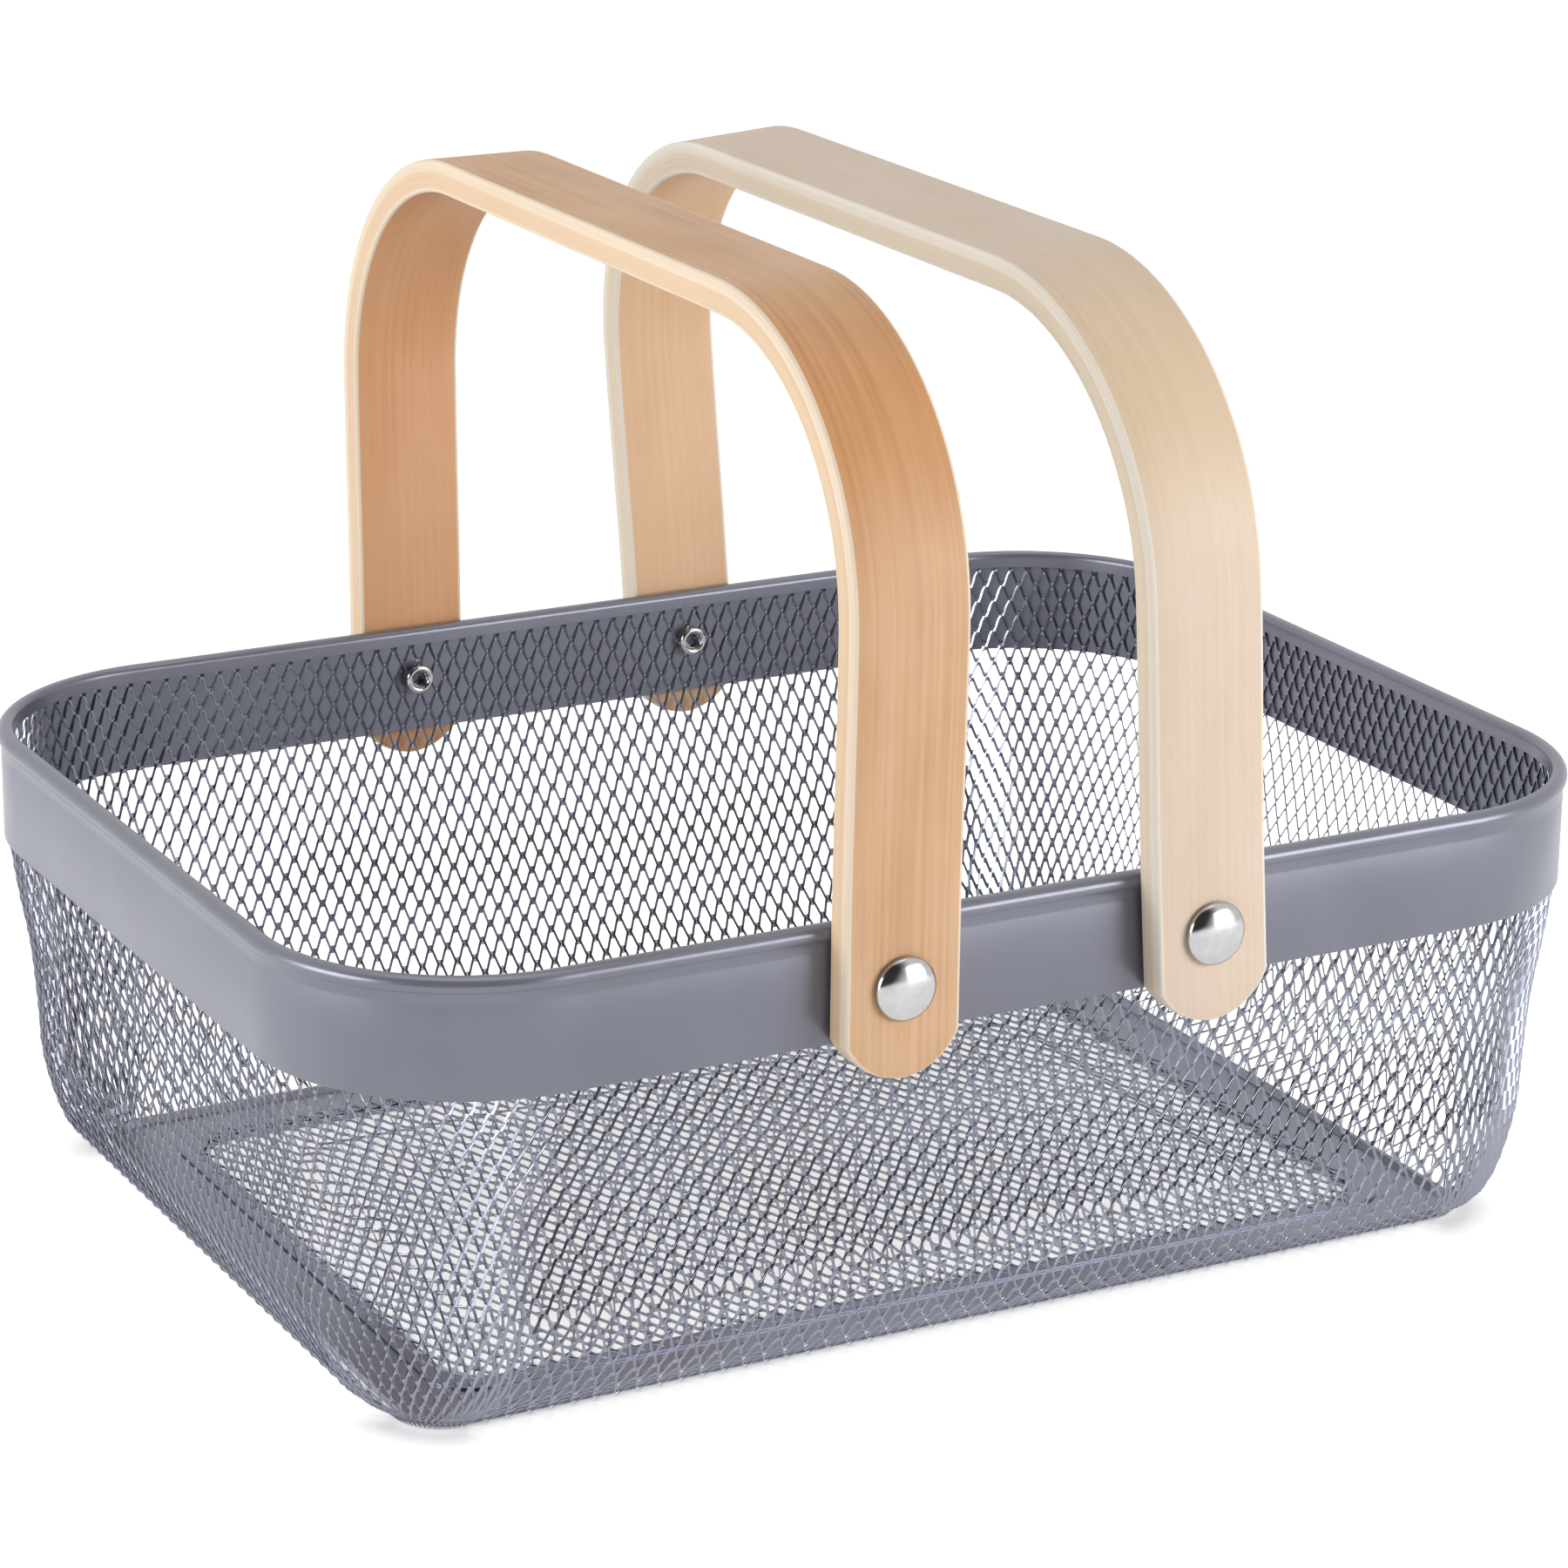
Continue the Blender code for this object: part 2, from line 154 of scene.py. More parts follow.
# The rivets
head_radius = 0.0066
head_rise = 0.0030
head_edge = 0.0004
head_edge_point = (1 / 3, 0.7)
shank_radius = 0.0024
tube_bore_radius = 0.0016
tube_bore_depth = 0.0050
clench_radius = 0.0034
clench_height = 0.0016
clench_end_degrees = -170
dome_steps = 14
clench_steps = 12
rivet_segments = 48
rivet_smooth_degrees = 35

# Each noise: its scale, its detail and the stretch of its coordinates
even = (1, 1, 1)
paint_clouds = (38, 3, even)
paint_haze = (160, 3, even)
paint_peel = (900, 1, even)
wood_streaks = (1, 4, (7, 760, 1))
wood_clouds = (1, 2, (24, 60, 1))
wood_pores = (1, 2, (170, 2600, 1))
chrome_haze = (500, 3, even)

# A mix node's sockets by number: the base, what is mixed in, and the result
mix_sockets = {"FLOAT": (2, 3, 0), "RGBA": (6, 7, 2)}

# White, for a tint that changes nothing and for the studio
white = (1, 1, 1)

# Paint: colour, share of metal, roughness and index of refraction
mesh_paint_finish = ((0.275, 0.287, 0.346), 0.95, 0.22, 1.5)
band_paint_finish = ((0.180, 0.186, 0.232), 0.34, 0.30, 1.6)
paint_cloud_stops = (0.35, 0.65)
paint_cloud_spread = 0.05
paint_haze_spread = 0.02
paint_peel_strength = 0.02
paint_peel_depth = 0.0001

# Wood: each surface's pale, middle and dark tone, in the order of the strap's surfaces below
tan_woods = (
    ("tan_face", (0.79, 0.525, 0.33), (0.69, 0.42, 0.235), (0.56, 0.30, 0.15)),
    ("tan_pale_ply", (0.84, 0.70, 0.54), (0.81, 0.66, 0.50), (0.76, 0.60, 0.44)),
    ("tan_inner_ply", (0.78, 0.59, 0.40), (0.75, 0.55, 0.36), (0.70, 0.48, 0.30)),
    ("tan_edge", (0.85, 0.72, 0.57), (0.82, 0.69, 0.53), (0.78, 0.63, 0.47)),
    # Painted shade and bounce light: the inner face gets a deeper orange than the outer face, on top of
    # the wood's own tones
    ("tan_inner_face_painted_shade", (0.78, 0.44, 0.23), (0.74, 0.39, 0.19), (0.67, 0.33, 0.15)),
)
pale_woods = (
    ("pale_face", (0.79, 0.65, 0.52), (0.75, 0.60, 0.47), (0.70, 0.55, 0.41)),
    ("pale_outer_ply", (0.88, 0.81, 0.71), (0.85, 0.77, 0.66), (0.80, 0.71, 0.59)),
    ("pale_inner_ply", (0.84, 0.73, 0.58), (0.81, 0.69, 0.53), (0.75, 0.62, 0.46)),
    ("pale_edge", (0.88, 0.82, 0.73), (0.86, 0.79, 0.69), (0.81, 0.73, 0.62)),
    # Painted shade and bounce light: the inner face gets a deeper orange than the outer face, on top of
    # the wood's own tones
    ("pale_inner_face_painted_shade", (0.84, 0.57, 0.35), (0.80, 0.52, 0.31), (0.74, 0.46, 0.26)),
)
outer_face, outer_ply, inner_ply, rounded_edge, inner_face = range(5)
# Painted shade on the outer face: these tints darken and brown it halfway round each bend, where it
# faces between up and out
tan_bend_shade_tint = (0.91, 0.73, 0.52)
pale_bend_shade_tint = (0.99, 0.93, 0.82)
face_streak_share = 0.5
ply_streak_share = 0.7
wood_tone_stops = (0.30, 0.50, 0.72)
pore_tint = (0.86, 0.80, 0.74)
pore_stops = (0.30, 0.42)
pore_share = 0.3
pore_strength = 0.12
pore_depth = 0.00015
wood_roughness = (0.42, 0.58)

# Chrome
chrome_tones = ((0.46, 0.455, 0.46), (0.52, 0.515, 0.52))
chrome_tone_stops = (0.3, 0.7)
chrome_roughness = (0.12, 0.18)

# The studio's floor and surroundings
floor_half_size = 6
floor_albedo = 0.80
floor_roughness = 0.9
floor_gloss = 0.1
floor_glow = 0.66
floor_shade_reach = 0.03
floor_shade_rays = 6
floor_shade_limits = (0.40, 0.68)
floor_shade_left = 0.35
world_light = 0.525
dark_share = 0.95
dark_middle = (-0.54, -0.68, 0.42)
dark_cosines = (0.46, 0.82)

# The lamps face one point. Each has its place, its size in metres and its power in watts
lit_point = (0, 0, 0.08)
lamps = (
    ("front_softbox", (0.68, -1.00, 0.34), (0.7, 0.6), 8.8),
    ("left_softbox", (-1.38, -0.05, 0.40), (0.9, 0.6), 13.9),
    ("top_softbox", (0.10, 0.15, 1.60), (1.2, 1.2), 3.7),
)

# The camera
camera_place = (-0.48372, -0.90430, 0.42449)
camera_heading = math.radians(-28.243)
camera_tilt = math.radians(90 - 18.080)
camera_roll = math.radians(0.608)
camera_lens = 116.0
camera_sensor = 36.0

# Worked out from the sizes above
face_length = basket_length - 2 * bead_overhang
face_width = basket_width - 2 * bead_overhang
corner_radius = rim_corner_radius - bead_overhang
mesh_inset = band_sheet + seat_gap
crease_inset = mesh_inset + wall_inset
ring_outer_inset = crease_inset + mesh_sheet + seat_gap
ring_inner_inset = ring_outer_inset + toe_inset + ring_width
strap_inner_y = face_width / 2 + bead_overhang + seat_gap
handle_reach = handle_top - rivet_height


# Objects

def add_mesh(name, bm, materials, smooth_degrees=None):
    mesh = bpy.data.meshes.new(name)
    bm.to_mesh(mesh)
    bm.free()
    for material in materials:
        mesh.materials.append(material)
    thing = bpy.data.objects.new(name, mesh)
    bpy.context.scene.collection.objects.link(thing)
    if smooth_degrees is not None:
        mesh.shade_smooth()
        mesh.set_sharp_from_angle(angle=math.radians(smooth_degrees))
    return thing


def stand_for(piece, node, body):
    """Rides the piece on its body in the place of the model's node."""
    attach(piece, body)
    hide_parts(node)


def thicken(thing, thickness, offset):
    """Gives a net its sheet: to one side for an offset of -1, to both sides for 0."""
    modifier = thing.modifiers.new("Sheet", "SOLIDIFY")
    modifier.thickness = thickness
    modifier.offset = offset


# Materials

def new_material(name):
    material = bpy.data.materials.new(name)
    material.use_nodes = True
    tree = material.node_tree
    return material, tree, tree.nodes["Principled BSDF"]


def add_node(tree, kind, **settings):
    node = tree.nodes.new(kind)
    for key, value in settings.items():
        setattr(node, key, value)
    return node


def noise_at(tree, coordinates, settings):
    """Noise over coordinates that are first stretched."""
    scale, detail, stretch = settings
    mapping = add_node(tree, "ShaderNodeMapping")
    mapping.inputs["Scale"].default_value = stretch
    tree.links.new(coordinates, mapping.inputs["Vector"])
    noise = add_node(tree, "ShaderNodeTexNoise")
    noise.inputs["Scale"].default_value = scale
    noise.inputs["Detail"].default_value = detail
    tree.links.new(mapping.outputs["Vector"], noise.inputs["Vector"])
    return noise.outputs["Fac"]


def ramp(tree, factor, places, colours):
    """Colours that blend into each other between their places on the factor."""
    node = add_node(tree, "ShaderNodeValToRGB")
    elements = node.color_ramp.elements
    while len(elements) < len(places):
        elements.new(places[1])
    for element, place, colour in zip(elements, places, colours):
        element.position = place
        element.color = (*colour, 1)
    tree.links.new(factor, node.inputs["Fac"])
    return node.outputs["Color"]


def spread(tree, factor, low, high, limits=(0, 1), kind="LINEAR"):
    """A value that goes from low to high while the factor goes from limit to limit."""
    node = add_node(tree, "ShaderNodeMapRange", interpolation_type=kind)
    node.inputs["From Min"].default_value, node.inputs["From Max"].default_value = limits
    node.inputs["To Min"].default_value = low
    node.inputs["To Max"].default_value = high
    tree.links.new(factor, node.inputs["Value"])
    return node.outputs["Result"]


def combine(tree, operation, first, second):
    """The product, the maximum or the like of two values."""
    node = add_node(tree, "ShaderNodeMath", operation=operation)
    tree.links.new(first, node.inputs[0])
    tree.links.new(second, node.inputs[1])
    return node.outputs[0]


def mix_node(tree, data_type, blend_type):
    """A mix node's share, its base, what is mixed in, and its result."""
    node = add_node(tree, "ShaderNodeMix", data_type=data_type, blend_type=blend_type)
    base, other, result = mix_sockets[data_type]
    return node.inputs[0], node.inputs[base], node.inputs[other], node.outputs[result]


def bump(tree, shader, height, strength, distance):
    node = add_node(tree, "ShaderNodeBump")
    node.inputs["Strength"].default_value = strength
    node.inputs["Distance"].default_value = distance
    tree.links.new(height, node.inputs["Height"])
    tree.links.new(node.outputs["Normal"], shader.inputs["Normal"])


def paint_material(name, finish):
    """Satin paint with a fine orange peel and faint cloudiness."""
    colour, metallic, roughness, index = finish
    material, tree, shader = new_material(name)
    place = add_node(tree, "ShaderNodeTexCoord").outputs["Object"]
    cloud = noise_at(tree, place, paint_clouds)
    darker = tuple((1 - paint_cloud_spread) * part for part in colour)
    lighter = tuple((1 + paint_cloud_spread) * part for part in colour)
    tree.links.new(ramp(tree, cloud, paint_cloud_stops, (darker, lighter)), shader.inputs["Base Color"])
    haze = noise_at(tree, place, paint_haze)
    rough = spread(tree, haze, roughness - paint_haze_spread, roughness + paint_haze_spread)
    tree.links.new(rough, shader.inputs["Roughness"])
    bump(tree, shader, noise_at(tree, place, paint_peel), paint_peel_strength, paint_peel_depth)
    shader.inputs["Metallic"].default_value = metallic
    shader.inputs["IOR"].default_value = index
    return material


def wood_material(name, tones, streak_share, bend_shade_tint):
    """Fine straight grain along the strap, with painted shade: darker and browner where the outer face
    turns halfway between up and out, at the middle of each bend.
    """
    pale, middle, dark = tones
    material, tree, shader = new_material(name)
    place = add_node(tree, "ShaderNodeUVMap", uv_map="strap").outputs["UV"]
    streaks = noise_at(tree, place, wood_streaks)
    clouds = noise_at(tree, place, wood_clouds)
    pores = noise_at(tree, place, wood_pores)
    share, base, other, grain = mix_node(tree, "FLOAT", "MIX")
    share.default_value = streak_share
    tree.links.new(clouds, base)
    tree.links.new(streaks, other)
    colour = ramp(tree, grain, wood_tone_stops, (dark, middle, pale))
    pore_mask = ramp(tree, pores, pore_stops, (pore_tint, white))
    share, base, other, pored = mix_node(tree, "RGBA", "MULTIPLY")
    share.default_value = pore_share
    tree.links.new(colour, base)
    tree.links.new(pore_mask, other)
    # Painted shade: the colour is multiplied towards the bend tint by the share stored on the strap
    share, base, other, bend_shaded = mix_node(tree, "RGBA", "MULTIPLY")
    painted_bend_shade = add_node(tree, "ShaderNodeAttribute", attribute_name="bend_shade_share")
    other.default_value = (*bend_shade_tint, 1)
    tree.links.new(painted_bend_shade.outputs["Fac"], share)
    tree.links.new(pored, base)
    tree.links.new(bend_shaded, shader.inputs["Base Color"])
    tree.links.new(spread(tree, streaks, *wood_roughness), shader.inputs["Roughness"])
    bump(tree, shader, pores, pore_strength, pore_depth)
    return material


def strap_materials(woods, bend_shade_tint):
    """The woods of a strap's surfaces. Only the outer face gets the painted shade, darker and browner,
    at the bends.
    """
    made = []
    for surface, (name, *tones) in enumerate(woods):
        is_face = surface in (outer_face, inner_face)
        streak_share = face_streak_share if is_face else ply_streak_share
        face_shade_tint = bend_shade_tint if surface == outer_face else white
        made.append(wood_material(name, tones, streak_share, face_shade_tint))
    return made


def chrome_material(name):
    """Polished plate with the faintest brushed haze."""
    material, tree, shader = new_material(name)
    place = add_node(tree, "ShaderNodeTexCoord").outputs["Object"]
    haze = noise_at(tree, place, chrome_haze)
    tree.links.new(ramp(tree, haze, chrome_tone_stops, chrome_tones), shader.inputs["Base Color"])
    tree.links.new(spread(tree, haze, *chrome_roughness), shader.inputs["Roughness"])
    shader.inputs["Metallic"].default_value = 1.0
    return material


# The plan of the basket

def plan_point(station, inset, height):
    """The point of a station on the outline that lies inset from the band's outer face."""
    share_x, share_y, angle = station
    depth_share = min(max((inset - mesh_inset) / wall_inset, 0), 1)
    radius = max(corner_radius - inset - corner_tightening * depth_share, least_corner_radius)
    x = share_x * (face_length / 2 - inset - radius) + radius * math.cos(angle)
    y = share_y * (face_width / 2 - inset - radius) + radius * math.sin(angle)
    return Vector((x, y, height))


def inside_plan(x, y, inset):
    """Whether a point lies within the outline at this inset."""
    end = plan_point((1, 1, 0), inset, 0)
    side = plan_point((1, 1, math.pi / 2), inset, 0)
    past = Vector((max(abs(x) - side.x, 0), max(abs(y) - end.y, 0)))
    return past.length <= end.x - side.x


def ring_stations(long_steps, short_steps, arc_steps):
    """Points round the plan: arcs at the corners, steps along the straight sides."""
    stations = []
    centres = ((1, 1), (-1, 1), (-1, -1), (1, -1))
    for quarter, (share_x, share_y) in enumerate(centres):
        for step in range(arc_steps + 1):
            stations.append((share_x, share_y, math.pi / 2 * (quarter + step / arc_steps)))
        next_x, next_y = centres[(quarter + 1) % 4]
        side_steps = long_steps if quarter % 2 == 0 else short_steps
        for step in range(1, side_steps):
            share = step / side_steps
            stations.append((share_x + (next_x - share_x) * share,
                             share_y + (next_y - share_y) * share,
                             math.pi / 2 * (quarter + 1)))
    return stations


def sweep_round_plan(name, section, material, smooth_degrees=sheet_smooth_degrees):
    """Turns a closed section of inset and height into a ring that follows the plan."""
    stations = ring_stations(1, 1, corner_steps)
    bm = bmesh.new()
    rows = [[bm.verts.new(plan_point(station, inset, height)) for station in stations]
            for inset, height in section]
    for first, second in zip(rows, rows[1:] + rows[:1]):
        for index in range(len(stations)):
            after = (index + 1) % len(stations)
            bm.faces.new((first[index], first[after], second[after], second[index]))
    bmesh.ops.recalc_face_normals(bm, faces=bm.faces)
    return add_mesh(name, bm, [material], smooth_degrees)


def arc_points(centre, radius, start, end, steps):
    """Points on an arc between two angles in degrees."""
    points = []
    for step in range(steps + 1):
        angle = math.radians(start + (end - start) * step / steps)
        points.append((centre[0] + radius * math.cos(angle), centre[1] + radius * math.sin(angle)))
    return points


# The expanded metal

def smooth_between(before, here, after, following, share):
    """A curve from here to after that leaves and arrives along its neighbours."""
    leave = (after - before) / 2
    arrive = (following - here) / 2
    squared = share * share
    cubed = squared * share
    return ((2 * cubed - 3 * squared + 1) * here + (cubed - 2 * squared + share) * leave
            + (3 * squared - 2 * cubed) * after + (cubed - squared) * arrive)


def evenly_spaced(curve, spacing):
    """An even number of steps along the curve, each near the spacing."""
    lengths = [0.0]
    for first, second in zip(curve, curve[1:]):
        lengths.append(lengths[-1] + math.dist(first, second))
    steps = 2 * round(lengths[-1] / spacing / 2)
    points = []
    segment = 0
    for step in range(steps + 1):
        target = lengths[-1] * step / steps
        while segment < len(lengths) - 2 and lengths[segment + 1] < target:
            segment += 1
        share = (target - lengths[segment]) / (lengths[segment + 1] - lengths[segment])
        points.append(tuple(a + (b - a) * share for a, b in zip(curve[segment], curve[segment + 1])))
    return points


def wall_profile():
    """Inset and height from under the bead down to the toe, a half cell apart."""
    top = band_bottom + overlap_in_band
    rows = [(mesh_inset + wall_inset * inset_share,
             crease_height + (top - crease_height) * height_share)
            for inset_share, height_share in wall_row_shares]
    rows = [(mesh_inset, basket_height - mesh_top_drop)] + rows
    curve = [rows[0]]
    for index in range(1, len(rows) - 1):
        before = rows[index - 1]
        here, after = rows[index], rows[index + 1]
        following = rows[min(index + 2, len(rows) - 1)]
        for step in range(row_steps):
            share = step / row_steps
            curve.append(tuple(smooth_between(*values, share)
                               for values in zip(before, here, after, following)))
    curve.append(rows[-1])
    curve.append((crease_inset + toe_inset, seat_gap))
    return evenly_spaced(curve, cell_height / 2)


def open_share_of(width, height, strand):
    """How much of a diamond is open when each strand takes half its width from it."""
    to_edge = width * height / 2 / math.hypot(width, height)
    return 1 - strand / 2 / to_edge


def diamond_opening(bm, knuckles, centre, normal, open_share, lift_share=1):
    """Half of each strand round an opening: its left edges lie further out than its right ones."""
    left, top, right, bottom = (vert.co for vert in knuckles)
    at_side = normal * side_lift * lift_share
    at_end = normal * end_lift * lift_share
    blunt = (right - left) / 2 * knuckle_share * open_share
    up = centre + (top - centre) * open_share
    down = centre + (bottom - centre) * open_share
    spots = (
        centre + (left - centre) * open_share + at_side,
        up - blunt + at_end,
        up + blunt - at_end,
        centre + (right - centre) * open_share - at_side,
        down + blunt - at_end,
        down - blunt + at_end,
    )
    opening = [bm.verts.new(spot) for spot in spots]
    at_left, at_top, at_right, at_bottom = knuckles
    bm.faces.new((at_left, at_top, opening[1], opening[0]))
    bm.faces.new((at_top, opening[2], opening[1]))
    bm.faces.new((at_top, at_right, opening[3], opening[2]))
    bm.faces.new((at_right, at_bottom, opening[4], opening[3]))
    bm.faces.new((at_bottom, opening[5], opening[4]))
    bm.faces.new((at_bottom, at_left, opening[0], opening[5]))


def make_wall(material):
    """A net of knuckles round the basket, with an opening between each four of them."""
    long_columns = round((face_length - 2 * corner_radius) / cell_width)
    short_columns = round((face_width - 2 * corner_radius) / cell_width)
    arc_columns = round(corner_radius * math.pi / 2 / cell_width)
    stations = ring_stations(2 * long_columns, 2 * short_columns, 2 * arc_columns)
    count = len(stations)
    profile = wall_profile()
    last = len(profile) - 1
    grid = [[plan_point(station, inset, height) for station in stations] for inset, height in profile]
    bm = bmesh.new()
    knuckles = {}
    for row in range(last + 1):
        for column in range(count):
            if (row + column) % 2 == 0:
                knuckles[column, row] = bm.verts.new(grid[row][column])
    for row in range(1, last):
        for column in range(count):
            if (row + column) % 2 == 1:
                before, after = (column - 1) % count, (column + 1) % count
                around = grid[row][after] - grid[row][before]
                upward = grid[row - 1][column] - grid[row + 1][column]
                share = open_share_of(around.length, upward.length, strand_width)
                ring = (knuckles[before, row], knuckles[column, row - 1],
                        knuckles[after, row], knuckles[column, row + 1])
                normal = around.cross(upward).normalized()
                diamond_opening(bm, ring, grid[row][column], normal, max(share, least_open_share))
    wall = add_mesh("wall_mesh_look", bm, [material])
    thicken(wall, strand_sheet, -1)
    stand_for(wall, "wall_mesh", "basket")


def floor_height(x, y):
    """The height of the floor panel's middle: it steps up inside its border."""
    step_inset = ring_inner_inset + floor_step_inset
    low = ring_sheet + seat_gap + mesh_sheet / 2
    if inside_plan(x, y, step_inset + floor_step_height):
        return low + floor_step_height
    if inside_plan(x, y, step_inset):
        return low + floor_step_height / 2
    return low


def make_floor(material):
    """The floor's flat net of cells and the plain border round it."""
    outer_inset = ring_inner_inset - floor_lap
    border_inset = outer_inset + floor_border
    columns = math.ceil(basket_length / cell_width)
    rows = math.ceil(basket_width / cell_height)
    share = open_share_of(cell_width, cell_height, floor_strand_width)
    bm = bmesh.new()
    knuckles = {}

    def spot(column, row):
        x = column * cell_width / 2
        y = row * cell_height / 2
        return Vector((x, y, floor_height(x, y)))

    def knuckle(column, row):
        if (column, row) not in knuckles:
            knuckles[column, row] = bm.verts.new(spot(column, row))
        return knuckles[column, row]

    for row in range(-rows, rows + 1):
        for column in range(-columns, columns + 1):
            place = spot(column, row)
            if (row + column) % 2 == 1 and inside_plan(place.x, place.y, border_inset - cell_width / 4):
                ring = (knuckle(column - 1, row), knuckle(column, row + 1),
                        knuckle(column + 1, row), knuckle(column, row - 1))
                diamond_opening(bm, ring, place, Vector((0, 0, 1)), share, floor_lift_share)
    panel = add_mesh("floor_mesh_look", bm, [material])
    thicken(panel, floor_strand_sheet, 0)
    stand_for(panel, "floor_mesh", "basket")

    low = ring_sheet + seat_gap
    section = ((outer_inset, low), (outer_inset, low + floor_border_sheet),
               (border_inset, low + floor_border_sheet), (border_inset, low))
    border = sweep_round_plan("floor_border_look", section, material)
    stand_for(border, "floor_mesh", "basket")


# The sheet rings

def make_band(material):
    """The band's section, as inset and height, with its fold line and rolled bead."""
    chamfer_inset, chamfer_height = band_foot_chamfer
    bead_radius = bead_height / 2
    outer_centre = (bead_radius - bead_overhang, basket_height - bead_radius)
    inner_centre = (bead_depth - bead_inner_radius, basket_height - bead_inner_radius)
    bead_bottom = basket_height - bead_height
    lip_inset = bead_depth - bead_lip_sheet
    under_roof = basket_height - bead_roof_sheet
    fold = basket_height - fold_line_drop
    soft = fold_line_softness
    section = [
        (chamfer_inset, band_bottom),
        (0, band_bottom + chamfer_height),
        (0, fold - 2 * soft),
        (fold_line_depth, fold - soft / 2),
        (fold_line_depth, fold + soft / 2),
        (0, fold + 2 * soft),
    ]
    section += arc_points(outer_centre, bead_radius, bead_outer_start_degrees, 90, bead_outer_steps)
    section += arc_points(inner_centre, bead_inner_radius, 90, 0, bead_inner_steps)
    section += [
        (bead_depth, bead_bottom),
        (lip_inset, bead_bottom),
        (lip_inset, under_roof),
        (band_sheet, under_roof),
        (band_sheet, band_bottom),
    ]
    band = sweep_round_plan("rim_band_look", section, material, band_smooth_degrees)
    stand_for(band, "rim_band", "basket")


def make_ring(material):
    """The foot ring, its flat part drawn up to the floor panel that lies on it."""
    lean = toe_inset * ring_lip_height / crease_height
    flat = ring_outer_inset + toe_inset
    top = ring_sheet + seat_gap - ring_top_gap
    section = ((flat, 0), (flat - lean, ring_lip_height), (flat - lean + ring_sheet, ring_lip_height),
               (flat + ring_sheet, top), (ring_inner_inset, top), (ring_inner_inset, 0))
    ring = sweep_round_plan("foot_ring_look", section, material)
    stand_for(ring, "foot_ring", "basket")


# The handles

def strap_path():
    """Half of the strap's centre line as seen from the end: offset from the middle, and height."""
    leg = strap_inner_y + strap_thickness / 2
    corner_height = handle_reach - strap_thickness / 2 - strap_corner_radius
    tail_centre = strap_tail_radius - strap_tail
    widest = math.asin(strap_width / 2 / strap_tail_radius)
    heights = []
    for step in range(strap_tail_steps + 1):
        angle = widest * (tail_tip_share + (1 - tail_tip_share) * step / strap_tail_steps)
        heights.append(tail_centre - strap_tail_radius * math.cos(angle))
    tail_top = heights[-1]
    for step in range(1, strap_straight_steps + 1):
        heights.append(tail_top + (straight_above_pivot - tail_top) * step / strap_straight_steps)
    points = [(leg, height) for height in heights]
    for step in range(1, strap_bow_steps + 1):
        share = step / strap_bow_steps
        smooth = share * share * (3 - 2 * share)
        height = straight_above_pivot + (corner_height - straight_above_pivot) * share
        points.append((leg + strap_bow * smooth, height))
    centre = (leg + strap_bow - strap_corner_radius, corner_height)
    points += arc_points(centre, strap_corner_radius, 0, 90, strap_corner_steps)[1:]
    for step in range(1, strap_top_steps + 1):
        points.append((centre[0] * (1 - step / strap_top_steps), points[-1][1]))
    return points


def half_width_at(height):
    """Half the strap's width, which narrows round its tail."""
    tail_centre = strap_tail_radius - strap_tail
    below = tail_centre - height
    reach = strap_width / 2
    if 0 < below < strap_tail_radius:
        reach = min(reach, math.sqrt(strap_tail_radius ** 2 - below ** 2))
    return reach


def strap_outline(half_width):
    """The strap's section with rounded edges, as points through and across it."""
    half = strap_thickness / 2
    edge = min(strap_edge_radius, half_width / 2)
    ply = half - strap_thickness * ply_share
    points = []
    corners = ((half - edge, half_width - edge, 0), (edge - half, half_width - edge, 90),
               (edge - half, edge - half_width, 180), (half - edge, edge - half_width, 270))
    for index, (through, across, start) in enumerate(corners):
        points += arc_points((through, across), edge, start, start + 90, strap_edge_steps)
        if index in (0, 2):
            points.append((ply, half_width if index == 0 else -half_width))
    return points


def outline_surfaces():
    """The surface that follows each point of the strap's section."""
    after_corners = ([outer_ply, inner_ply], [inner_face], [inner_ply, outer_ply], [outer_face])
    surfaces = []
    for following in after_corners:
        surfaces += [rounded_edge] * strap_edge_steps + following
    return surfaces


def strap_sections(bm, path, turn):
    """The outline's points at each place on the path, and the length of the path up to there."""
    # How much painted shade each place gets: most where the path runs halfway between upright and level
    bend_shade_share = bm.verts.layers.float.new("bend_shade_share")
    sections = []
    along = 0.0
    for index, (offset, height) in enumerate(path):
        before = Vector(path[max(index - 1, 0)])
        after = Vector(path[min(index + 1, len(path) - 1)])
        tangent = (after - before).normalized()
        outward = Vector((tangent.y, -tangent.x))
        if index:
            along += math.dist(path[index - 1], path[index])
        outline = strap_outline(half_width_at(height))
        row = []
        for through, across in outline:
            spot = Vector((across, offset + outward.x * through, height + outward.y * through))
            vert = bm.verts.new(turn @ spot)
            vert[bend_shade_share] = abs(2 * tangent.x * tangent.y)
            row.append(vert)
        sections.append((row, along, outline))
    return sections


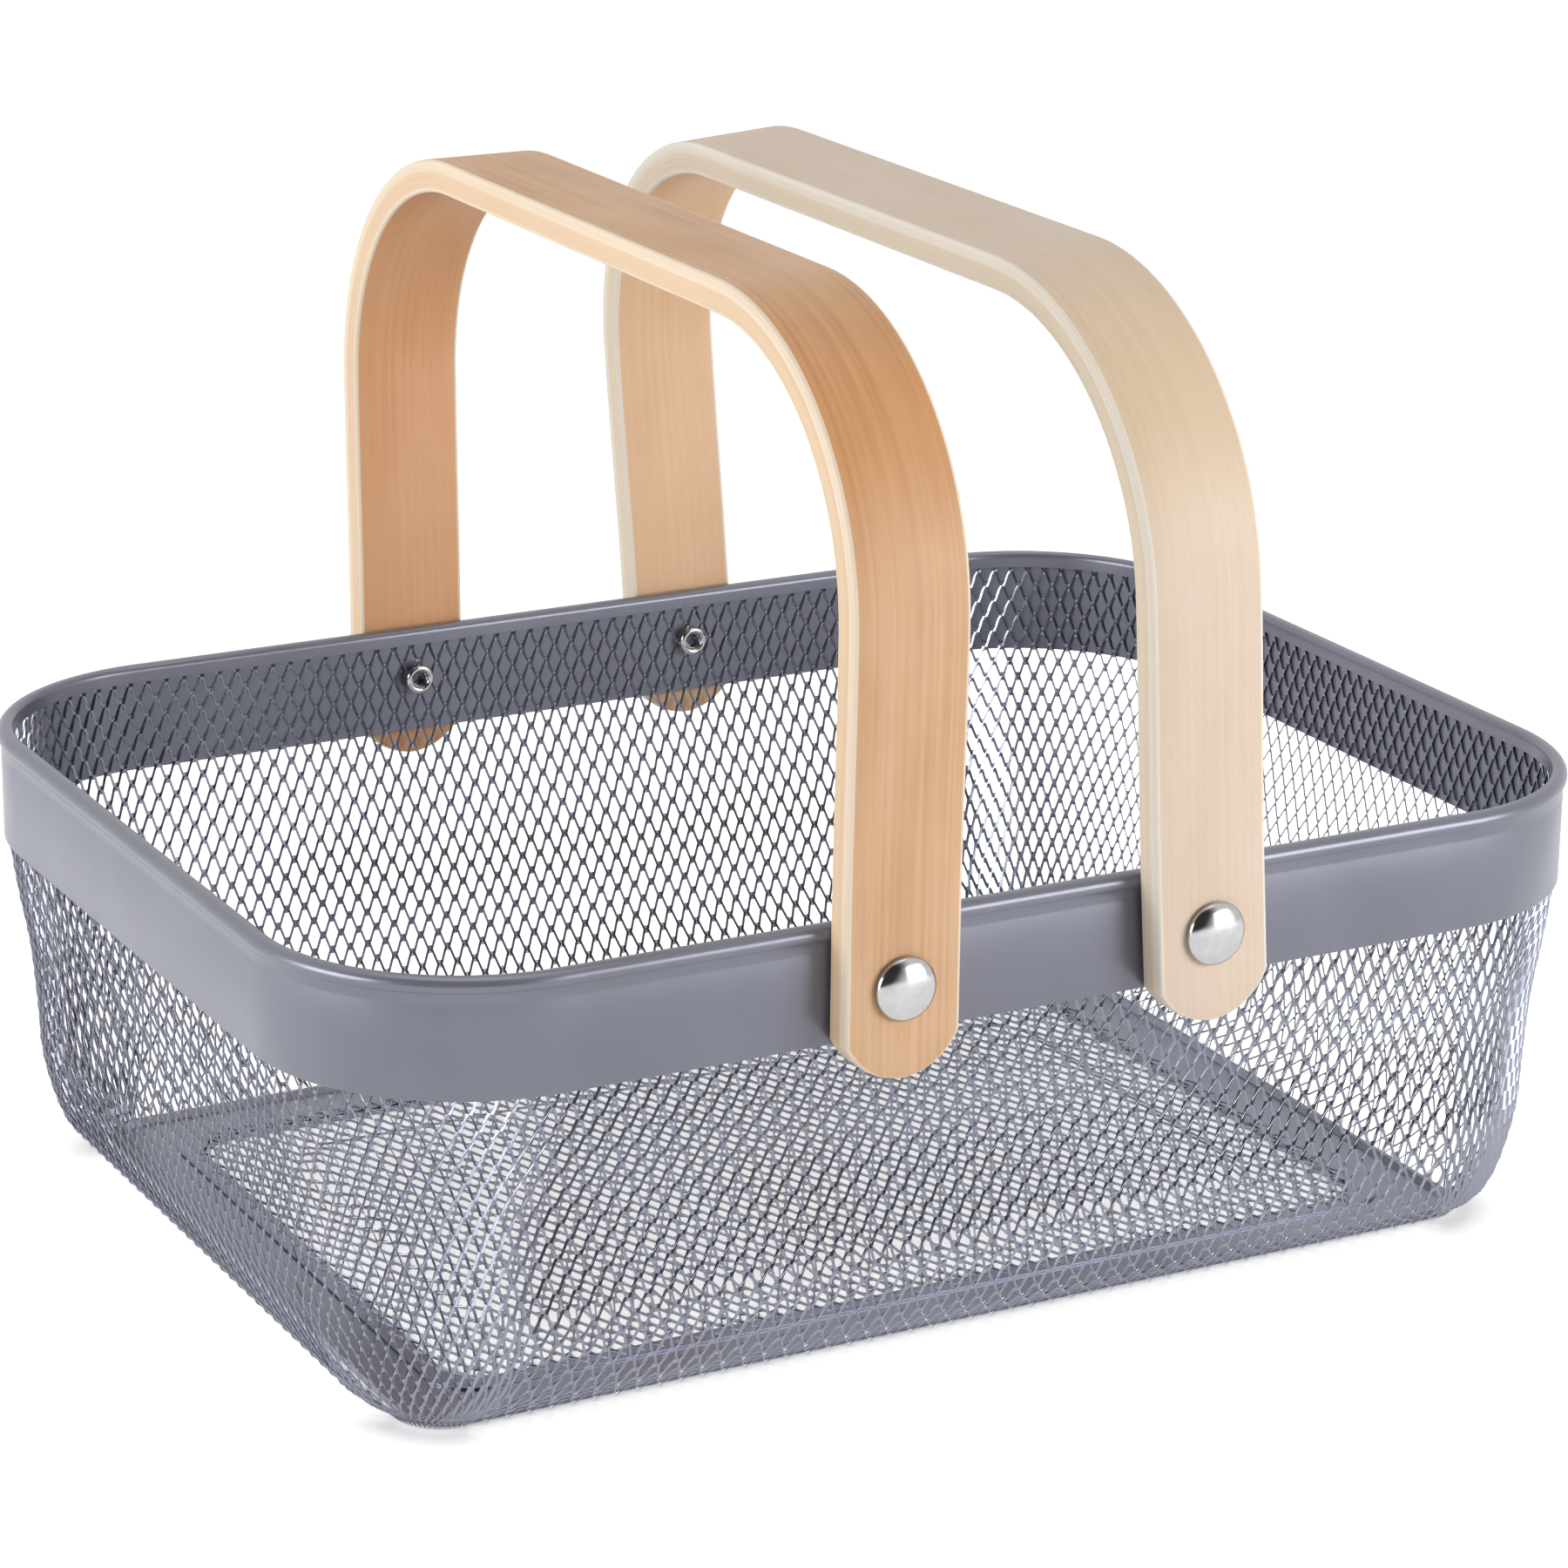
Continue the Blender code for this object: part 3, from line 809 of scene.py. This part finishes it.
def make_handle(side, lean, materials):
    """A bentwood strap whose grain runs along it, turned about its rivets by its lean."""
    half = strap_path()
    path = half + [(-offset, height) for offset, height in reversed(half[:-1])]
    body = side + "_handle"
    turn = Matrix.Translation(joint_places[body]) @ Matrix.Rotation(lean, 4, "Y")
    bm = bmesh.new()
    grain = bm.loops.layers.uv.new("strap")
    sections = strap_sections(bm, path, turn)
    surfaces = outline_surfaces()
    for (row, along, outline), (next_row, next_along, next_outline) in zip(sections, sections[1:]):
        for place, surface in enumerate(surfaces):
            after = (place + 1) % len(surfaces)
            face = bm.faces.new((row[place], row[after], next_row[after], next_row[place]))
            face.material_index = surface
            corners = ((along, outline[place]), (along, outline[after]),
                       (next_along, next_outline[after]), (next_along, next_outline[place]))
            for loop, (length, (through, across)) in zip(face.loops, corners):
                loop[grain].uv = (length, across + through)
    for strap_end in (sections[0], sections[-1]):
        bm.faces.new(strap_end[0]).material_index = rounded_edge
    bmesh.ops.recalc_face_normals(bm, faces=bm.faces)
    handle = add_mesh(body + "_look", bm, materials, strap_smooth_degrees)
    stand_for(handle, body, body)


# The rivets

def rivet_profile():
    """Radius and height from the band's outer face, from the dome's top to the bore's end."""
    seat = bead_overhang + 2 * seat_gap + strap_thickness
    edge = seat + head_edge
    rise = head_rise - head_edge
    points = []
    for step in range(dome_steps):
        angle = math.pi / 2 * step / dome_steps
        points.append((head_radius * math.sin(angle), edge + rise * math.cos(angle)))
    clench_top = -mesh_inset - mesh_sheet - seat_gap
    inward, down = head_edge_point
    points += [
        (head_radius, edge),
        (head_radius - head_edge * inward, edge - head_edge * down),
        (head_radius - head_edge, seat),
        (shank_radius, seat),
        (shank_radius, clench_top),
    ]
    roll = clench_height / 2
    centre = (clench_radius - roll, clench_top - roll)
    points += arc_points(centre, roll, 90, clench_end_degrees, clench_steps)
    clench_end = clench_top - clench_height
    points += [
        (tube_bore_radius, clench_end + roll),
        (tube_bore_radius, clench_end + tube_bore_depth),
        (0, clench_end + tube_bore_depth),
    ]
    return points


def make_rivet(side, place, material):
    """The rivet's profile turned round its axis, out of the basket's front or back."""
    sign = -1 if place == "front" else 1
    hinge = joint_places[side + "_handle"]
    bm = bmesh.new()
    rings = []
    for radius, height in rivet_profile():
        count = rivet_segments if radius > 0 else 1
        angles = [2 * math.pi * step / rivet_segments for step in range(count)]
        rings.append([bm.verts.new((hinge.x + radius * math.cos(angle),
                                    sign * (face_width / 2 + height),
                                    rivet_height + radius * math.sin(angle)))
                      for angle in angles])
    for first, second in zip(rings, rings[1:]):
        for step in range(rivet_segments):
            after = (step + 1) % rivet_segments
            corners = [first[step % len(first)], first[after % len(first)],
                       second[after % len(second)], second[step % len(second)]]
            bm.faces.new(list(dict.fromkeys(corners)))
    bmesh.ops.recalc_face_normals(bm, faces=bm.faces)
    name = side + "_" + place + "_rivet"
    rivet = add_mesh(name + "_look", bm, [material], rivet_smooth_degrees)
    stand_for(rivet, name, "basket")


# The studio

def seen_directly(tree):
    """1 for rays from the camera, a reflection or a refraction, and 0 for the rest."""
    rays = add_node(tree, "ShaderNodeLightPath").outputs
    either = combine(tree, "MAXIMUM", rays["Is Camera Ray"], rays["Is Glossy Ray"])
    return combine(tree, "MAXIMUM", either, rays["Is Transmission Ray"])


def make_floor_plane():
    """A pale floor that glows white around the basket and stays in shade close under it."""
    bm = bmesh.new()
    bmesh.ops.create_grid(bm, x_segments=1, y_segments=1, size=floor_half_size)
    material, tree, shader = new_material("pale_floor")
    shader.inputs["Base Color"].default_value = (floor_albedo, floor_albedo, floor_albedo, 1)
    shader.inputs["Roughness"].default_value = floor_roughness
    shader.inputs["Specular IOR Level"].default_value = floor_gloss
    shader.inputs["Emission Color"].default_value = (*white, 1)
    glow = spread(tree, seen_directly(tree), 0, floor_glow)
    cover = add_node(tree, "ShaderNodeAmbientOcclusion", samples=floor_shade_rays)
    cover.inputs["Distance"].default_value = floor_shade_reach
    shade = spread(tree, cover.outputs["AO"], floor_shade_left, 1, floor_shade_limits)
    tree.links.new(combine(tree, "MULTIPLY", glow, shade), shader.inputs["Emission Strength"])
    plane = add_mesh("studio_floor", bm, [material])


def add_light(name, place, size, power):
    """A soft box that faces the middle of the basket."""
    light = bpy.data.lights.new(name, "AREA")
    light.shape = "RECTANGLE"
    light.size, light.size_y = size
    light.energy = power
    thing = bpy.data.objects.new(name, light)
    thing.visible_camera = False
    thing.location = place
    thing.rotation_euler = (Vector(lit_point) - Vector(place)).to_track_quat("-Z", "Y").to_euler()
    bpy.context.scene.collection.objects.link(thing)


def make_surroundings():
    """A white world with one soft dark zone, which the camera doesn't see."""
    world = bpy.data.worlds.new("studio")
    world.use_nodes = True
    tree = world.node_tree
    background = tree.nodes["Background"]
    background.inputs["Color"].default_value = (*white, 1)
    bright = spread(tree, seen_directly(tree), world_light, 1)
    direction = add_node(tree, "ShaderNodeTexCoord").outputs["Generated"]
    facing = add_node(tree, "ShaderNodeVectorMath", operation="DOT_PRODUCT")
    facing.inputs[1].default_value = Vector(dark_middle).normalized()
    tree.links.new(direction, facing.inputs[0])
    dark = spread(tree, facing.outputs["Value"], 1, 1 - dark_share, dark_cosines, "SMOOTHSTEP")
    dimmed = combine(tree, "MULTIPLY", bright, dark)
    camera_ray = add_node(tree, "ShaderNodeLightPath").outputs["Is Camera Ray"]
    strength = combine(tree, "MAXIMUM", dimmed, camera_ray)
    tree.links.new(strength, background.inputs["Strength"])
    bpy.context.scene.world = world


def place_camera():
    camera = bpy.data.cameras.new("photo_view")
    camera.sensor_width = camera_sensor
    camera.lens = camera_lens
    thing = bpy.data.objects.new("photo_view", camera)
    heading = Matrix.Rotation(camera_heading, 4, "Z")
    tilt = Matrix.Rotation(camera_tilt, 4, "X")
    roll = Matrix.Rotation(camera_roll, 4, "Z")
    thing.matrix_world = Matrix.Translation(camera_place) @ heading @ tilt @ roll
    bpy.context.scene.collection.objects.link(thing)
    bpy.context.scene.camera = thing


def dress_basket():
    mesh_paint = paint_material("mesh_paint", mesh_paint_finish)
    band_paint = paint_material("band_paint", band_paint_finish)
    make_wall(mesh_paint)
    make_floor(mesh_paint)
    make_band(band_paint)
    make_ring(mesh_paint)

    tan = strap_materials(tan_woods, tan_bend_shade_tint)
    pale = strap_materials(pale_woods, pale_bend_shade_tint)
    make_handle("left", 0, tan)
    make_handle("right", right_handle_lean, pale)

    chrome = chrome_material("rivet_chrome")
    for side in ("left", "right"):
        for place in ("front", "back"):
            make_rivet(side, place, chrome)


def build_studio():
    make_floor_plane()
    make_surroundings()
    for lamp in lamps:
        add_light(*lamp)
    place_camera()


bpy.context.scene.view_settings.view_transform = "Standard"
dress_basket()
build_studio()
